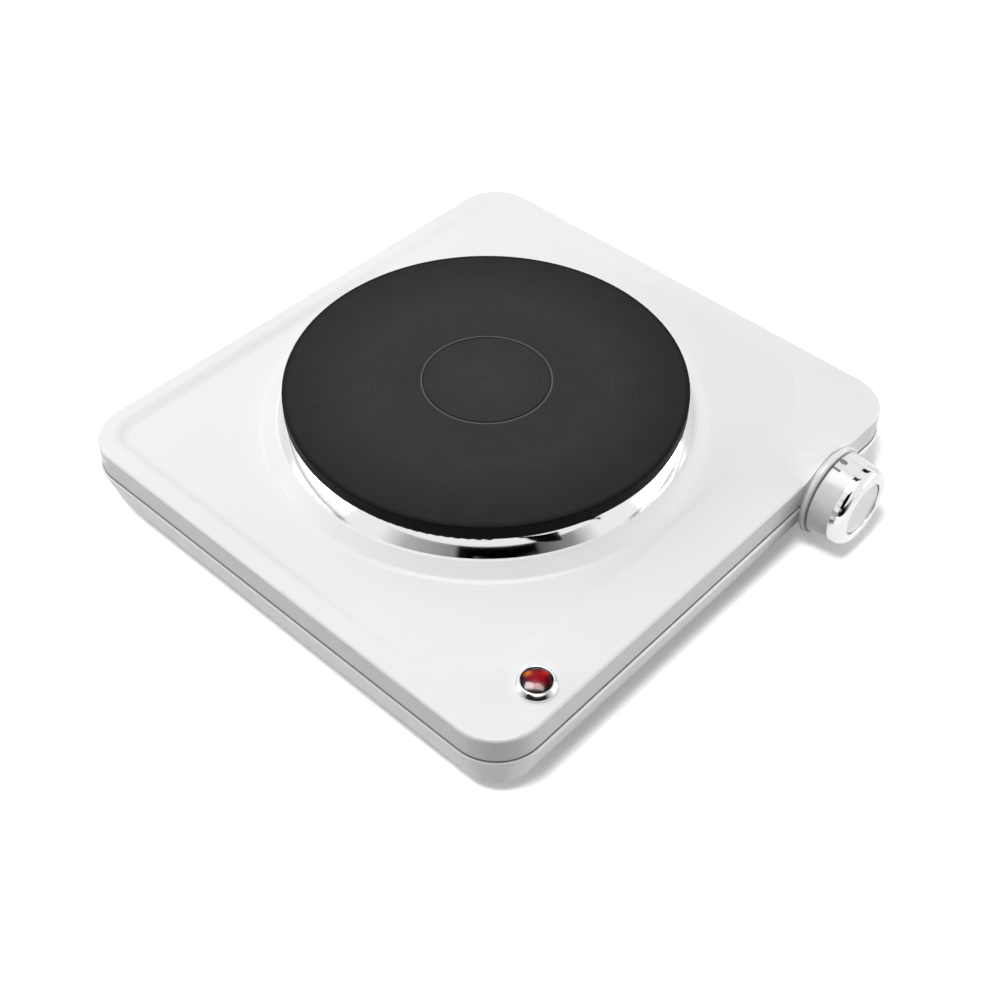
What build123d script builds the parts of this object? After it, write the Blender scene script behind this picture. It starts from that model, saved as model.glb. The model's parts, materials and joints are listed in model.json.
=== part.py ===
"""Single hot plate: pressed cover, cast plate, pan, thermostat, knob, lamp and inner fittings.

Millimetres, +Z up, -Y is the front with the knob. The origin is on the table, under the middle of
the outline, with the knob and the cord gland counted in.
"""

import os
from math import asin, atan2, cos, degrees, pi, tan

from build123d import *

os.makedirs("parts", exist_ok=True)

# Housing: overall sizes
COVER_WIDTH = 276.0
COVER_DEPTH = 261.0
COVER_CORNER = 22.0
COVER_EDGE = 1.5
SKIRT_HEIGHT = 12.8
BODY_HEIGHT = 35.5
FOOT_HEIGHT = 10.5
SHEET = 0.8

# Drip tray pressed into the cover's top
TRAY_DEPTH = 1.4
TRAY_SLOPE = 4.0
TRAY_BLEND = 8.0
TRAY_SIDE_BORDER = 8.5
TRAY_BACK_BORDER = 8.0
CONTROL_STRIP = 27.5
TRAY_BACK_CORNER = 14.0
TRAY_FRONT_CORNER = 44.0

# Cast plate, and the collar and ring that carry it
PLATE_RADIUS = 92.5
PLATE_SETBACK = 6.0
PLATE_RISE = 19.5
PLATE_RIM = 7.0
PLATE_SHOULDER = 4.5
PLATE_EDGE = 0.8
CIRCLE_RADIUS = 29.0
CIRCLE_WIDTH = 0.9
CIRCLE_DEPTH = 0.4
DIMPLE_RADIUS = 1.4
DIMPLE_DEPTH = 0.5
CHANNEL_COUNT = 3
CHANNEL_INSET = 10.0
CHANNEL_PITCH = 14.0
CHANNEL_WIDTH = 6.0
CHANNEL_DEPTH = 7.0
POCKET_WALL = 5.0
POCKET_DEPTH = 8.0
BOSS_RADIUS = 10.0
COLLAR_RISE = 4.0
COLLAR_RUN = 7.4
COLLAR_LAND_MARGIN = 0.8
COLLAR_FOOT_BLEND = 4.0
COLLAR_TOP_BLEND = 2.0
OPENING_GAP = 2.0
OPENING_LIP = 3.0
RING_SHEET = 0.7
RING_INSET = 1.3
RING_FLARE = 4.6
RING_BORE_GAP = 0.8
RING_BEND = 2.5

# Heating coils and the fittings under the plate
COIL_RADIUS = 1.9
TAIL_RADIUS = 2.2
COIL_TAIL_SPACING = 9.0
FILLER_DEPTH = 2.0
FILLER_SIDE_GAP = 0.2
FILLER_TAIL_GAP = 1.0
COIL_BED_GAP = 0.2
PLATE_COVER_MARGIN = 2.0
PLATE_COVER_SHEET = 0.6
INSULATOR_WIDTH = 20.0
INSULATOR_HEIGHT = 7.0
INSULATOR_END = 7.0
TAIL_CLEARANCE = 0.4
BUSBAR_WIDTH = 6.0
BUSBAR_SHEET = 0.8
STUD_RADIUS = 2.95
STUD_GRIP = 8.0
STUD_DROP = 13.0
THREAD_CLEARANCE = 0.05
BAR_WIDTH = 22.0
BAR_SHEET = 1.5
BAR_FLANGE = 6.5
BAR_BEARING = 9.0
BAR_TAB = 13.0
BAR_GAP = 1.1
WASHER_RADIUS = 9.0
WASHER_THICKNESS = 1.2
NUT_FLATS = 10.0
NUT_HEIGHT = 5.0

# Bottom pan: a shoulder that stands out past the skirt, and walls that draw in to the floor
PAN_GAP = 0.8
PAN_LIP = 1.5
PAN_DRAW_IN = 6.2
PAN_NECK_GAP = 0.8
PAN_LAP = 1.5
PAN_BOTTOM_EDGE = 2.0
PAN_SHOULDER_EDGE = 1.2
VENT_LENGTH = 34.0
VENT_WIDTH = 4.0
VENT_PITCH = 10.0
VENT_COUNT = 7
VENT_OFFSET = 48.0

# Posts, feet and screws
FOOT_SIDE_INSET = 35.0
FOOT_END_INSET = 38.5
POST_RADIUS = 5.0
POST_THREAD_DEPTH = 18.0
FOOT_BASE_RADIUS = 11.0
FOOT_TIP_RADIUS = 9.0
FOOT_EDGE = 1.5
FOOT_RECESS_GAP = 1.0
FOOT_RECESS_DEPTH = 7.0
SCREW_RADIUS = 1.6
SCREW_CLEARANCE = 0.4
SCREW_TAP_CLEARANCE = 0.1
FOOT_SCREW_HEAD = 4.0
FOOT_SCREW_HEAD_HEIGHT = 3.0
FOOT_SCREW_REACH = 16.0
FIXING_HEAD = 3.4
FIXING_HEAD_HEIGHT = 1.6
FIXING_REACH = 5.0

# Knob, collar and thermostat, measured out from the front wall
KNOB_SIDE_INSET = 59.0
KNOB_DROP = 14.5
COLLAR_RING_RADIUS = 22.0
COLLAR_RING_BACK = 1.8
COLLAR_RING_FRONT = 4.3
COLLAR_RING_EDGE = 0.8
COLLAR_SEAT_INSET = 3.0
COLLAR_HUB_RADIUS = 8.6
COLLAR_DISH_INSET = 5.0
COLLAR_DISH_DEPTH = 1.5
NUT_RECESS_RADIUS = 9.5
NUT_SEAT = 1.0
NOTCH_CLEARANCE = 0.4
FAIRING_RISE = 6.0
FAIRING_LENGTH = 20.0
FAIRING_SPREAD = 20.0
FAIRING_DIP = 0.25
FAIRING_ROOT = 3.0
FAIRING_STEPS = 4
KNOB_GAP = 0.7
KNOB_REACH = 22.0
KNOB_INSET = 1.3
KNOB_TAPER = 1.0
KNOB_WALL = 2.4
KNOB_WEB = 2.4
KNOB_HUB_RADIUS = 5.6
TRIM_LENGTH = 6.5
TRIM_STEP = 0.2
TRIM_WALL = 2.4
TRIM_LIP = 1.5
TRIM_ROUND = 4.0
TRIM_CLEARANCE = 0.05
CAP_RADIUS = 12.6
CAP_RECESS = 0.8
CAP_SEAT_DEPTH = 1.1
CAP_CLEARANCE = 0.2
SPINDLE_RADIUS = 3.0
SPINDLE_FLAT = 2.3
SPINDLE_CLEARANCE = 0.05
SPINDLE_TAIL = 24.0
BUSH_RADIUS = 5.0
BUSH_FLANGE_RADIUS = 7.0
BUSH_FLANGE = 3.0
BUSH_CLEARANCE = 0.2
THERMOSTAT_NUT_FLATS = 14.0
THERMOSTAT_NUT_HEIGHT = 2.6
BRACKET_DEPTH = 9.0
BRACKET_SHEET = 1.2
BRACKET_WIDTH = 34.0
BRACKET_RISE = 11.5
BRACKET_FOOT = 27.0
BRACKET_SCREW_SPACING = 20.0
THERMOSTAT_WIDTH = 30.0
THERMOSTAT_HEIGHT = 21.0
THERMOSTAT_LENGTH = 18.0
THERMOSTAT_EDGE = 1.0
TAB_WIDTH = 6.3
TAB_THICKNESS = 0.8
TAB_LENGTH = 8.0
TAB_SPACING = 18.0

# Pilot lamp
LAMP_SIDE_INSET = 36.0
LAMP_FROM_FRONT = 13.8
LAMP_BEZEL_FLARE = 1.4
LAMP_BEZEL_HEIGHT = 3.5
LAMP_BEZEL_FOOT = 1.2
LAMP_BEZEL_ROUND = 0.6
LAMP_LIP_WIDTH = 0.7
LAMP_LIP_ROUND = 0.3
LAMP_LENS_OVERLAP = 0.4
LAMP_LENS_TOP = 5.5
LAMP_LENS_SIDE = 2.9
LAMP_SEAT = 1.0
LAMP_FIT = 0.2
LAMP_SLEEVE_RADIUS = 6.0
LAMP_SLEEVE_WALL = 0.8
LAMP_SLEEVE_LENGTH = 9.0
LAMP_BODY_LENGTH = 24.0
LAMP_BODY_WALL = 1.2
LAMP_BULB_RADIUS = 2.8
LAMP_BULB_CROWN = 2.5
LAMP_BULB_LENGTH = 15.0
LAMP_CLIP_MARGIN = 0.7
LAMP_CLIP_SHEET = 0.6

# Cord gland and terminal block
GLAND_SIDE_INSET = 68.0
GLAND_DROP = 8.0
GLAND_PROUD = 2.5
GLAND_TAIL = 2.4
GLAND_BORE = 3.5
GLAND_WALL = 1.0
GLAND_LIP = 0.7
GLAND_TIP_WALL = 1.1
GLAND_CLEARANCE = 0.1
BLOCK_WIDTH = 32.0
BLOCK_DEPTH = 16.0
BLOCK_HEIGHT = 16.0
BLOCK_FROM_BACK = 21.0
BLOCK_EDGE = 1.0
BLOCK_SCREW_SPACING = 10.0
POLE_PITCH = 10.0
POLE_WIDTH = 7.0
POLE_DEPTH = 10.0
POLE_LENGTH = 11.0
CLAMP_GAP = 0.2
CLAMP_HEIGHT = 7.0
WIRE_RADIUS = 1.2
WIRE_HOLE_CLEARANCE = 0.4
WIRE_BEND = 4.5
WIRE_BLOCK_LEAD = 40.0
WIRE_TAB_LEAD = 18.0
WIRE_RISE_RUN = 25.0
WIRE_LOOP = 11.0
LAMP_LEAD_SPACING = 5.0

# Places worked out from those sizes
COVER_Y = (KNOB_REACH - GLAND_PROUD) / 2
FRONT_Y = COVER_Y - COVER_DEPTH / 2
BACK_Y = COVER_Y + COVER_DEPTH / 2
RIM_Z = FOOT_HEIGHT + BODY_HEIGHT
SKIRT_Z = RIM_Z - SKIRT_HEIGHT
TRAY_Z = RIM_Z - TRAY_DEPTH
TRAY_UNDER_Z = TRAY_Z - SHEET
LAND_Z = RIM_Z + COLLAR_RISE
PLATE_Y = COVER_Y + PLATE_SETBACK
PLATE_TOP_Z = RIM_Z + PLATE_RISE
PLATE_RIM_Z = PLATE_TOP_Z - PLATE_RIM
PLATE_COVER_Z = TRAY_UNDER_Z + BAR_GAP
PLATE_UNDER_Z = PLATE_COVER_Z + PLATE_COVER_SHEET
PLATE_BODY_RADIUS = PLATE_RADIUS - PLATE_SHOULDER
PLATE_COVER_RADIUS = PLATE_BODY_RADIUS - PLATE_COVER_MARGIN
CHANNEL_RADII = [PLATE_BODY_RADIUS - CHANNEL_INSET - CHANNEL_PITCH * turn for turn in range(CHANNEL_COUNT)]
POCKET_RADIUS = CHANNEL_RADII[-1] - CHANNEL_WIDTH / 2 - POCKET_WALL
OPENING_RADIUS = PLATE_BODY_RADIUS + OPENING_GAP
RING_TOP_RADIUS = PLATE_RADIUS - RING_INSET
RING_FOOT_RADIUS = RING_TOP_RADIUS + RING_FLARE
RING_BORE = PLATE_BODY_RADIUS + RING_BORE_GAP
COLLAR_TOP_RADIUS = RING_FOOT_RADIUS + COLLAR_LAND_MARGIN
COLLAR_FOOT_RADIUS = COLLAR_TOP_RADIUS + COLLAR_RUN
INSULATOR_Z = PLATE_COVER_Z - INSULATOR_HEIGHT
BUSBAR_Z = INSULATOR_Z - BUSBAR_SHEET
PAN_FLOOR_Z = FOOT_HEIGHT + SHEET
PAN_SHOULDER_Z = SKIRT_Z - PAN_GAP
PAN_TOP_Z = SKIRT_Z + PAN_LAP
FOOT_X = COVER_WIDTH / 2 - FOOT_SIDE_INSET
FOOT_Y = COVER_DEPTH / 2 - FOOT_END_INSET
KNOB_X = COVER_WIDTH / 2 - KNOB_SIDE_INSET
KNOB_Z = RIM_Z - KNOB_DROP
KNOB_BASE_RADIUS = COLLAR_RING_RADIUS - KNOB_INSET
KNOB_NECK_RADIUS = KNOB_BASE_RADIUS - KNOB_TAPER
TRIM_RADIUS = KNOB_NECK_RADIUS - TRIM_STEP
LAMP_X = LAMP_SIDE_INSET - COVER_WIDTH / 2
LAMP_Y = FRONT_Y + LAMP_FROM_FRONT
LAMP_LENS_RADIUS = LAMP_SLEEVE_RADIUS + LAMP_LENS_OVERLAP
LAMP_LIP_RADIUS = LAMP_LENS_RADIUS + LAMP_FIT + LAMP_LIP_WIDTH
LAMP_BEZEL_RADIUS = LAMP_LIP_RADIUS + LAMP_BEZEL_FLARE
GLAND_X = COVER_WIDTH / 2 - GLAND_SIDE_INSET
GLAND_Z = RIM_Z - GLAND_DROP
GLAND_NECK = GLAND_BORE + GLAND_WALL
GLAND_FLANGE = GLAND_NECK + GLAND_LIP
BLOCK_Y = BACK_Y - BLOCK_FROM_BACK - BLOCK_DEPTH / 2
COIL_Z = PLATE_UNDER_Z + FILLER_DEPTH + COIL_BED_GAP + COIL_RADIUS
COLLAR_SEAT_RADIUS = COLLAR_RING_RADIUS - COLLAR_SEAT_INSET
SCREW_HOLE_RADIUS = SCREW_RADIUS + SCREW_CLEARANCE
TAPPED_RADIUS = SCREW_RADIUS + SCREW_TAP_CLEARANCE
CUT_PAST = 1.0

# Section planes: (out, up) for the plate and lamp, (out from the wall, radius) for knob and gland
PLATE_SECTION = Plane(origin=(0, PLATE_Y, 0), x_dir=(1, 0, 0), z_dir=(0, -1, 0))
PLATE_AXIS = Axis((0, PLATE_Y, 0), (0, 0, 1))
LAMP_SECTION = Plane(origin=(LAMP_X, LAMP_Y, RIM_Z), x_dir=(1, 0, 0), z_dir=(0, -1, 0))
LAMP_AXIS = Axis((LAMP_X, LAMP_Y, RIM_Z), (0, 0, 1))
KNOB_SECTION = Plane(origin=(KNOB_X, FRONT_Y, KNOB_Z), x_dir=(0, -1, 0), z_dir=(-1, 0, 0))
KNOB_AXIS = Axis((KNOB_X, FRONT_Y, KNOB_Z), (0, -1, 0))
GLAND_SECTION = Plane(origin=(GLAND_X, BACK_Y, GLAND_Z), x_dir=(0, 1, 0), z_dir=(1, 0, 0))
GLAND_AXIS = Axis((GLAND_X, BACK_Y, GLAND_Z), (0, 1, 0))


def write_piece(piece, name):
    """Label a finished piece and write it under its node's name."""
    piece.part.label = name
    export_step(piece.part, f"parts/{name}.step")


def level(z, x=0.0, y=COVER_Y):
    """A level plane at height z."""
    return Plane(origin=(x, y, z))


def knob_plane(out):
    """A plane square to the knob's axis, facing out, at a distance from the front wall."""
    return Plane(origin=(KNOB_X, FRONT_Y - out, KNOB_Z), x_dir=(1, 0, 0), z_dir=(0, -1, 0))


def gland_plane(out):
    """A plane square to the gland's axis, facing in, at a distance from the back wall."""
    return Plane(origin=(GLAND_X, BACK_Y + out, GLAND_Z), x_dir=(1, 0, 0), z_dir=(0, -1, 0))


def turned(section, axis, points, radii=0.0, arc=360.0):
    """A turned piece: a closed outline with rounded corners, revolved about an axis."""
    with BuildPart() as piece:
        with BuildSketch(section):
            with BuildLine():
                FilletPolyline(*points, radius=radii, close=True)
            make_face()
        revolve(axis=axis, revolution_arc=arc)
    return piece.part


def rod(x, y, bottom, top, radius):
    """A plain upright rod."""
    with BuildPart() as piece:
        with BuildSketch(level(bottom, x, y)):
            Circle(radius)
        extrude(amount=top - bottom)
    return piece.part


def housing_outline(draw_in):
    """Width, depth and corner of the housing's outline, drawn in all round."""
    return COVER_WIDTH - 2 * draw_in, COVER_DEPTH - 2 * draw_in, COVER_CORNER - draw_in


def tray_outline(z, grow):
    """The tray's outline at height z, with tight back corners and wide front ones."""
    front = CONTROL_STRIP - COVER_DEPTH / 2
    back = COVER_DEPTH / 2 - TRAY_BACK_BORDER
    with BuildSketch(level(z)) as outline:
        with Locations((0, (front + back) / 2)):
            Rectangle(COVER_WIDTH - 2 * TRAY_SIDE_BORDER + 2 * grow, back - front + 2 * grow)
        fillet(outline.vertices().group_by(Axis.Y)[-1], TRAY_BACK_CORNER + grow)
        fillet(outline.vertices().group_by(Axis.Y)[0], TRAY_FRONT_CORNER + grow)
    return outline.sketch


def fairing_section(back, inset):
    """One section of the fairing: a wave that dies away to both sides and towards the back."""
    crest = FAIRING_RISE * (1 + cos(pi * back / FAIRING_LENGTH)) / 2 - FAIRING_DIP * back / FAIRING_LENGTH
    foot = KNOB_DROP - inset - FAIRING_DIP
    crest_height = KNOB_DROP - inset + crest
    steps = range(-FAIRING_STEPS, FAIRING_STEPS + 1)
    wave = [
        (FAIRING_SPREAD * step / FAIRING_STEPS,
         foot + (crest_height - foot) * (1 + cos(pi * step / FAIRING_STEPS)) / 2)
        for step in steps
    ]
    with BuildSketch(knob_plane(-inset - back)) as section:
        with BuildLine():
            top = Spline(*wave, tangents=((1, 0), (1, 0)))
            Polyline(top @ 1, (FAIRING_SPREAD, foot - FAIRING_ROOT), (-FAIRING_SPREAD, foot - FAIRING_ROOT), top @ 0)
        make_face()
    return section.sketch


def fairing(inset):
    """The soft bulge in the cover's top behind the knob's collar."""
    with BuildPart() as bulge:
        loft([fairing_section(FAIRING_LENGTH * part / 3, inset) for part in range(4)])
    return bulge.part


def cover_form(inset):
    """The solid inside the cover's outer face, or inside its inner face when drawn in by the sheet."""
    bottom = SKIRT_Z - inset
    top = RIM_Z - inset
    floor = TRAY_Z - inset
    land = LAND_Z - inset
    slope = atan2(LAND_Z - TRAY_Z, COLLAR_FOOT_RADIUS - COLLAR_TOP_RADIUS)
    draw_in = inset * tan(slope / 2)
    foot = COLLAR_FOOT_RADIUS - draw_in
    crown = COLLAR_TOP_RADIUS - draw_in
    collar_points = [(0, floor - CUT_PAST), (foot, floor - CUT_PAST), (foot, floor), (crown, land), (0, land)]
    collar = turned(PLATE_SECTION, PLATE_AXIS, collar_points, [0, 0, 0, COLLAR_TOP_BLEND - inset, 0])
    with BuildPart() as form:
        with BuildSketch(level(bottom)):
            RectangleRounded(*housing_outline(inset))
        extrude(amount=top - bottom)
        loft([tray_outline(top, 0), tray_outline(floor, -TRAY_SLOPE)], ruled=True, mode=Mode.SUBTRACT)
        tray_floor = form.faces().filter_by(Axis.Z).sort_by(Axis.Z)[-2]
        fillet(tray_floor.edges(), TRAY_BLEND + inset)
        rim = form.faces().filter_by(Axis.Z).sort_by(Axis.Z)[-1]
        fillet(rim.inner_wires()[0].edges(), TRAY_BLEND - inset)
        rim = form.faces().filter_by(Axis.Z).sort_by(Axis.Z)[-1]
        fillet(rim.outer_wire().edges(), COVER_EDGE - inset)
        add(collar)
        foot_edges = form.edges().filter_by(GeomType.CIRCLE).filter_by(lambda edge: abs(edge.radius - foot) < 0.01)
        fillet(foot_edges, COLLAR_FOOT_BLEND + inset)
        add(fairing(inset))
    return form.part


# Pressed top cover
lip_points = [
    (OPENING_RADIUS, LAND_Z - SHEET - OPENING_LIP),
    (OPENING_RADIUS + SHEET, LAND_Z - SHEET - OPENING_LIP),
    (OPENING_RADIUS + SHEET, LAND_Z - SHEET / 2),
    (OPENING_RADIUS, LAND_Z - SHEET / 2),
]
with BuildPart() as top_cover:
    add(cover_form(0))
    add(cover_form(SHEET), mode=Mode.SUBTRACT)
    with BuildSketch(level(TRAY_Z, 0, PLATE_Y)):
        Circle(OPENING_RADIUS)
    extrude(amount=LAND_Z, mode=Mode.SUBTRACT)
    add(turned(PLATE_SECTION, PLATE_AXIS, lip_points))
    with BuildSketch(level(TRAY_Z, LAMP_X, LAMP_Y)):
        Circle(LAMP_SLEEVE_RADIUS + LAMP_FIT)
    extrude(amount=2 * TRAY_DEPTH, mode=Mode.SUBTRACT)
    with BuildSketch(knob_plane(CUT_PAST)):
        Circle(COLLAR_HUB_RADIUS + NOTCH_CLEARANCE)
    extrude(amount=-CUT_PAST - 2 * SHEET, mode=Mode.SUBTRACT)
    with BuildSketch(gland_plane(CUT_PAST)):
        Circle(GLAND_NECK + GLAND_CLEARANCE)
    extrude(amount=CUT_PAST + 2 * SHEET, mode=Mode.SUBTRACT)
write_piece(top_cover, "top_cover")


def pan_form(inset):
    """The solid inside the pan's outer face, or inside its inner face when drawn in by the sheet."""
    bottom = FOOT_HEIGHT + inset
    shoulder = PAN_SHOULDER_Z - inset
    top = PAN_TOP_Z + inset
    with BuildPart() as form:
        with BuildSketch(level(bottom)):
            RectangleRounded(*housing_outline(PAN_DRAW_IN - PAN_LIP + inset))
        with BuildSketch(level(shoulder)):
            RectangleRounded(*housing_outline(inset - PAN_LIP))
        loft(ruled=True)
        fillet(form.edges().group_by(Axis.Z)[0], PAN_BOTTOM_EDGE - inset)
        fillet(form.edges().group_by(Axis.Z)[-1], PAN_SHOULDER_EDGE - inset)
        with BuildSketch(level(shoulder)):
            RectangleRounded(*housing_outline(SHEET + PAN_NECK_GAP + inset))
        extrude(amount=top - shoulder)
    return form.part


FOOT_PLACES = {
    "front_left": (-FOOT_X, COVER_Y - FOOT_Y),
    "front_right": (FOOT_X, COVER_Y - FOOT_Y),
    "back_left": (-FOOT_X, COVER_Y + FOOT_Y),
    "back_right": (FOOT_X, COVER_Y + FOOT_Y),
}
BRACKET_SCREW_Y = FRONT_Y + BRACKET_DEPTH + BRACKET_FOOT / 2
FIXING_PLACES = [
    (KNOB_X - BRACKET_SCREW_SPACING / 2, BRACKET_SCREW_Y),
    (KNOB_X + BRACKET_SCREW_SPACING / 2, BRACKET_SCREW_Y),
    (GLAND_X - BLOCK_SCREW_SPACING / 2, BLOCK_Y),
    (GLAND_X + BLOCK_SCREW_SPACING / 2, BLOCK_Y),
]

# Bottom pan with its vents and screw holes
with BuildPart() as bottom_pan:
    add(pan_form(0))
    add(pan_form(SHEET), mode=Mode.SUBTRACT)
    with BuildSketch(level(FOOT_HEIGHT)):
        with GridLocations(2 * VENT_OFFSET, VENT_PITCH, 2, VENT_COUNT):
            SlotOverall(VENT_LENGTH, VENT_WIDTH)
    extrude(amount=2 * SHEET, mode=Mode.SUBTRACT)
    with BuildSketch(level(FOOT_HEIGHT, 0, 0)):
        with Locations(*FOOT_PLACES.values(), *FIXING_PLACES):
            Circle(SCREW_HOLE_RADIUS)
    extrude(amount=2 * SHEET, mode=Mode.SUBTRACT)
    with BuildSketch(knob_plane(0)):
        Circle(COLLAR_SEAT_RADIUS + NOTCH_CLEARANCE)
    extrude(amount=2 * PAN_LIP, mode=Mode.SUBTRACT)
    with BuildSketch(knob_plane(0)):
        Circle(COLLAR_HUB_RADIUS + NOTCH_CLEARANCE)
    extrude(amount=-BRACKET_DEPTH, mode=Mode.SUBTRACT)
    with BuildSketch(gland_plane(0)):
        Circle(GLAND_FLANGE + NOTCH_CLEARANCE)
    extrude(amount=BRACKET_DEPTH, mode=Mode.SUBTRACT)
write_piece(bottom_pan, "bottom_pan")

# Posts under the cover and the rubber feet below them
for place, (x, y) in FOOT_PLACES.items():
    with BuildPart() as post:
        with BuildSketch(level(PAN_FLOOR_Z, x, y)):
            Circle(POST_RADIUS)
        extrude(amount=TRAY_UNDER_Z - PAN_FLOOR_Z)
        with BuildSketch(level(PAN_FLOOR_Z, x, y)):
            Circle(TAPPED_RADIUS)
        extrude(amount=POST_THREAD_DEPTH, mode=Mode.SUBTRACT)
    write_piece(post, f"post_{place}")

    with BuildPart() as foot:
        with BuildSketch(level(0, x, y)):
            Circle(FOOT_TIP_RADIUS)
        with BuildSketch(level(FOOT_HEIGHT, x, y)):
            Circle(FOOT_BASE_RADIUS)
        loft()
        fillet(foot.edges().group_by(Axis.Z)[0], FOOT_EDGE)
        with BuildSketch(level(0, x, y)):
            Circle(FOOT_SCREW_HEAD + FOOT_RECESS_GAP)
        extrude(amount=FOOT_RECESS_DEPTH, mode=Mode.SUBTRACT)
        with BuildSketch(level(0, x, y)):
            Circle(SCREW_HOLE_RADIUS)
        extrude(amount=FOOT_HEIGHT, mode=Mode.SUBTRACT)
    write_piece(foot, f"foot_{place}")


def screw(x, y, seat, head, head_height, reach):
    """A screw whose round head sits under the level seat and whose shank goes up."""
    with BuildPart() as piece:
        with BuildSketch(level(seat - head_height, x, y)):
            Circle(head)
        extrude(amount=head_height)
        with BuildSketch(level(seat, x, y)):
            Circle(SCREW_RADIUS)
        extrude(amount=reach)
        fillet(piece.edges().group_by(Axis.Z)[0], head_height / 2)
    return piece.part


with BuildPart() as foot_screws:
    for x, y in FOOT_PLACES.values():
        add(screw(x, y, FOOT_RECESS_DEPTH, FOOT_SCREW_HEAD, FOOT_SCREW_HEAD_HEIGHT, FOOT_SCREW_REACH))
write_piece(foot_screws, "foot_screws")

with BuildPart() as fixing_screws:
    for x, y in FIXING_PLACES:
        add(screw(x, y, FOOT_HEIGHT, FIXING_HEAD, FIXING_HEAD_HEIGHT, FIXING_REACH))
write_piece(fixing_screws, "fixing_screws")

# Cast heating plate: turned face, ring shoulder, and the channels and pocket of its underside
plate_points = [
    (0, PLATE_UNDER_Z),
    (PLATE_BODY_RADIUS, PLATE_UNDER_Z),
    (PLATE_BODY_RADIUS, PLATE_RIM_Z),
    (PLATE_RADIUS, PLATE_RIM_Z),
    (PLATE_RADIUS, PLATE_TOP_Z),
    (0, PLATE_TOP_Z),
]
with BuildPart() as heating_plate:
    add(turned(PLATE_SECTION, PLATE_AXIS, plate_points, [0, PLATE_EDGE, 0, PLATE_EDGE, PLATE_EDGE, 0]))
    with BuildSketch(level(PLATE_UNDER_Z, 0, PLATE_Y)):
        for radius in CHANNEL_RADII:
            Circle(radius + CHANNEL_WIDTH / 2)
            Circle(radius - CHANNEL_WIDTH / 2, mode=Mode.SUBTRACT)
    extrude(amount=CHANNEL_DEPTH, mode=Mode.SUBTRACT)
    with BuildSketch(level(PLATE_UNDER_Z, 0, PLATE_Y)):
        Circle(POCKET_RADIUS)
        Circle(BOSS_RADIUS, mode=Mode.SUBTRACT)
    extrude(amount=POCKET_DEPTH, mode=Mode.SUBTRACT)
    with BuildSketch(level(PLATE_UNDER_Z, 0, PLATE_Y)):
        Circle(STUD_RADIUS + THREAD_CLEARANCE)
    extrude(amount=STUD_GRIP, mode=Mode.SUBTRACT)
    with BuildSketch(level(PLATE_TOP_Z, 0, PLATE_Y)):
        Circle(CIRCLE_RADIUS + CIRCLE_WIDTH / 2)
        Circle(CIRCLE_RADIUS - CIRCLE_WIDTH / 2, mode=Mode.SUBTRACT)
    extrude(amount=-CIRCLE_DEPTH, mode=Mode.SUBTRACT)
    with Locations((0, PLATE_Y, PLATE_TOP_Z - DIMPLE_DEPTH / 2)):
        Cone(DIMPLE_RADIUS / 4, DIMPLE_RADIUS, DIMPLE_DEPTH, mode=Mode.SUBTRACT)
write_piece(heating_plate, "heating_plate")

# Spill ring: foot on the cover's collar, top flange under the plate's rim
ring_lean = RING_FLARE / (PLATE_RIM_Z - LAND_Z)
ring_points = [
    (RING_FOOT_RADIUS, LAND_Z),
    (RING_TOP_RADIUS, PLATE_RIM_Z),
    (RING_BORE, PLATE_RIM_Z),
    (RING_BORE, PLATE_RIM_Z - RING_SHEET),
    (RING_TOP_RADIUS + (ring_lean - 1) * RING_SHEET, PLATE_RIM_Z - RING_SHEET),
    (RING_FOOT_RADIUS - RING_SHEET, LAND_Z),
]
with BuildPart() as spill_ring:
    add(turned(PLATE_SECTION, PLATE_AXIS, ring_points, [0, RING_BEND, 0, 0, RING_BEND - RING_SHEET, 0]))
write_piece(spill_ring, "spill_ring")


def tail_angle(radius, half_width):
    """Half the angle that a gap of that half width takes out of a ring."""
    return degrees(asin(half_width / radius))


def open_ring(radius, half_gap, points):
    """A ring open at the front, from a closed section drawn about its middle line at (0, 0)."""
    start = tail_angle(radius, half_gap) - 90
    across = Vector(1, 0, 0).rotate(Axis.Z, start)
    along = Vector(0, 1, 0).rotate(Axis.Z, start)
    section = Plane(origin=Vector(0, PLATE_Y, 0) + across * radius, x_dir=across, z_dir=-along)
    return turned(section, PLATE_AXIS, points, arc=360 - 2 * tail_angle(radius, half_gap))


# Heating coils: three open rings, each with two pins that go down at the front
with BuildPart() as heating_coils:
    for radius in CHANNEL_RADII:
        half_gap = COIL_TAIL_SPACING / 2
        start = Vector(1, 0, 0).rotate(Axis.Z, tail_angle(radius, half_gap) - 90)
        along = Vector(0, 1, 0).rotate(Axis.Z, tail_angle(radius, half_gap) - 90)
        centre = Vector(0, PLATE_Y, COIL_Z) + start * radius
        with BuildSketch(Plane(origin=centre, x_dir=start, z_dir=along)):
            Circle(COIL_RADIUS)
        revolve(axis=PLATE_AXIS, revolution_arc=360 - 2 * tail_angle(radius, half_gap))
        for side in (-1, 1):
            with BuildSketch(level(INSULATOR_Z, side * centre.X, centre.Y)):
                Circle(TAIL_RADIUS)
            extrude(amount=COIL_Z + TAIL_RADIUS - INSULATOR_Z)
write_piece(heating_coils, "heating_coils")

# Insulating filler that closes the channels under the coils
filler_half = CHANNEL_WIDTH / 2 - FILLER_SIDE_GAP
filler_points = [
    (-filler_half, PLATE_UNDER_Z),
    (filler_half, PLATE_UNDER_Z),
    (filler_half, PLATE_UNDER_Z + FILLER_DEPTH),
    (-filler_half, PLATE_UNDER_Z + FILLER_DEPTH),
]
filler_gap = COIL_TAIL_SPACING / 2 + TAIL_RADIUS + FILLER_TAIL_GAP
with BuildPart() as channel_filler:
    for radius in CHANNEL_RADII:
        add(open_ring(radius, filler_gap, filler_points))
write_piece(channel_filler, "channel_filler")

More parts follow.
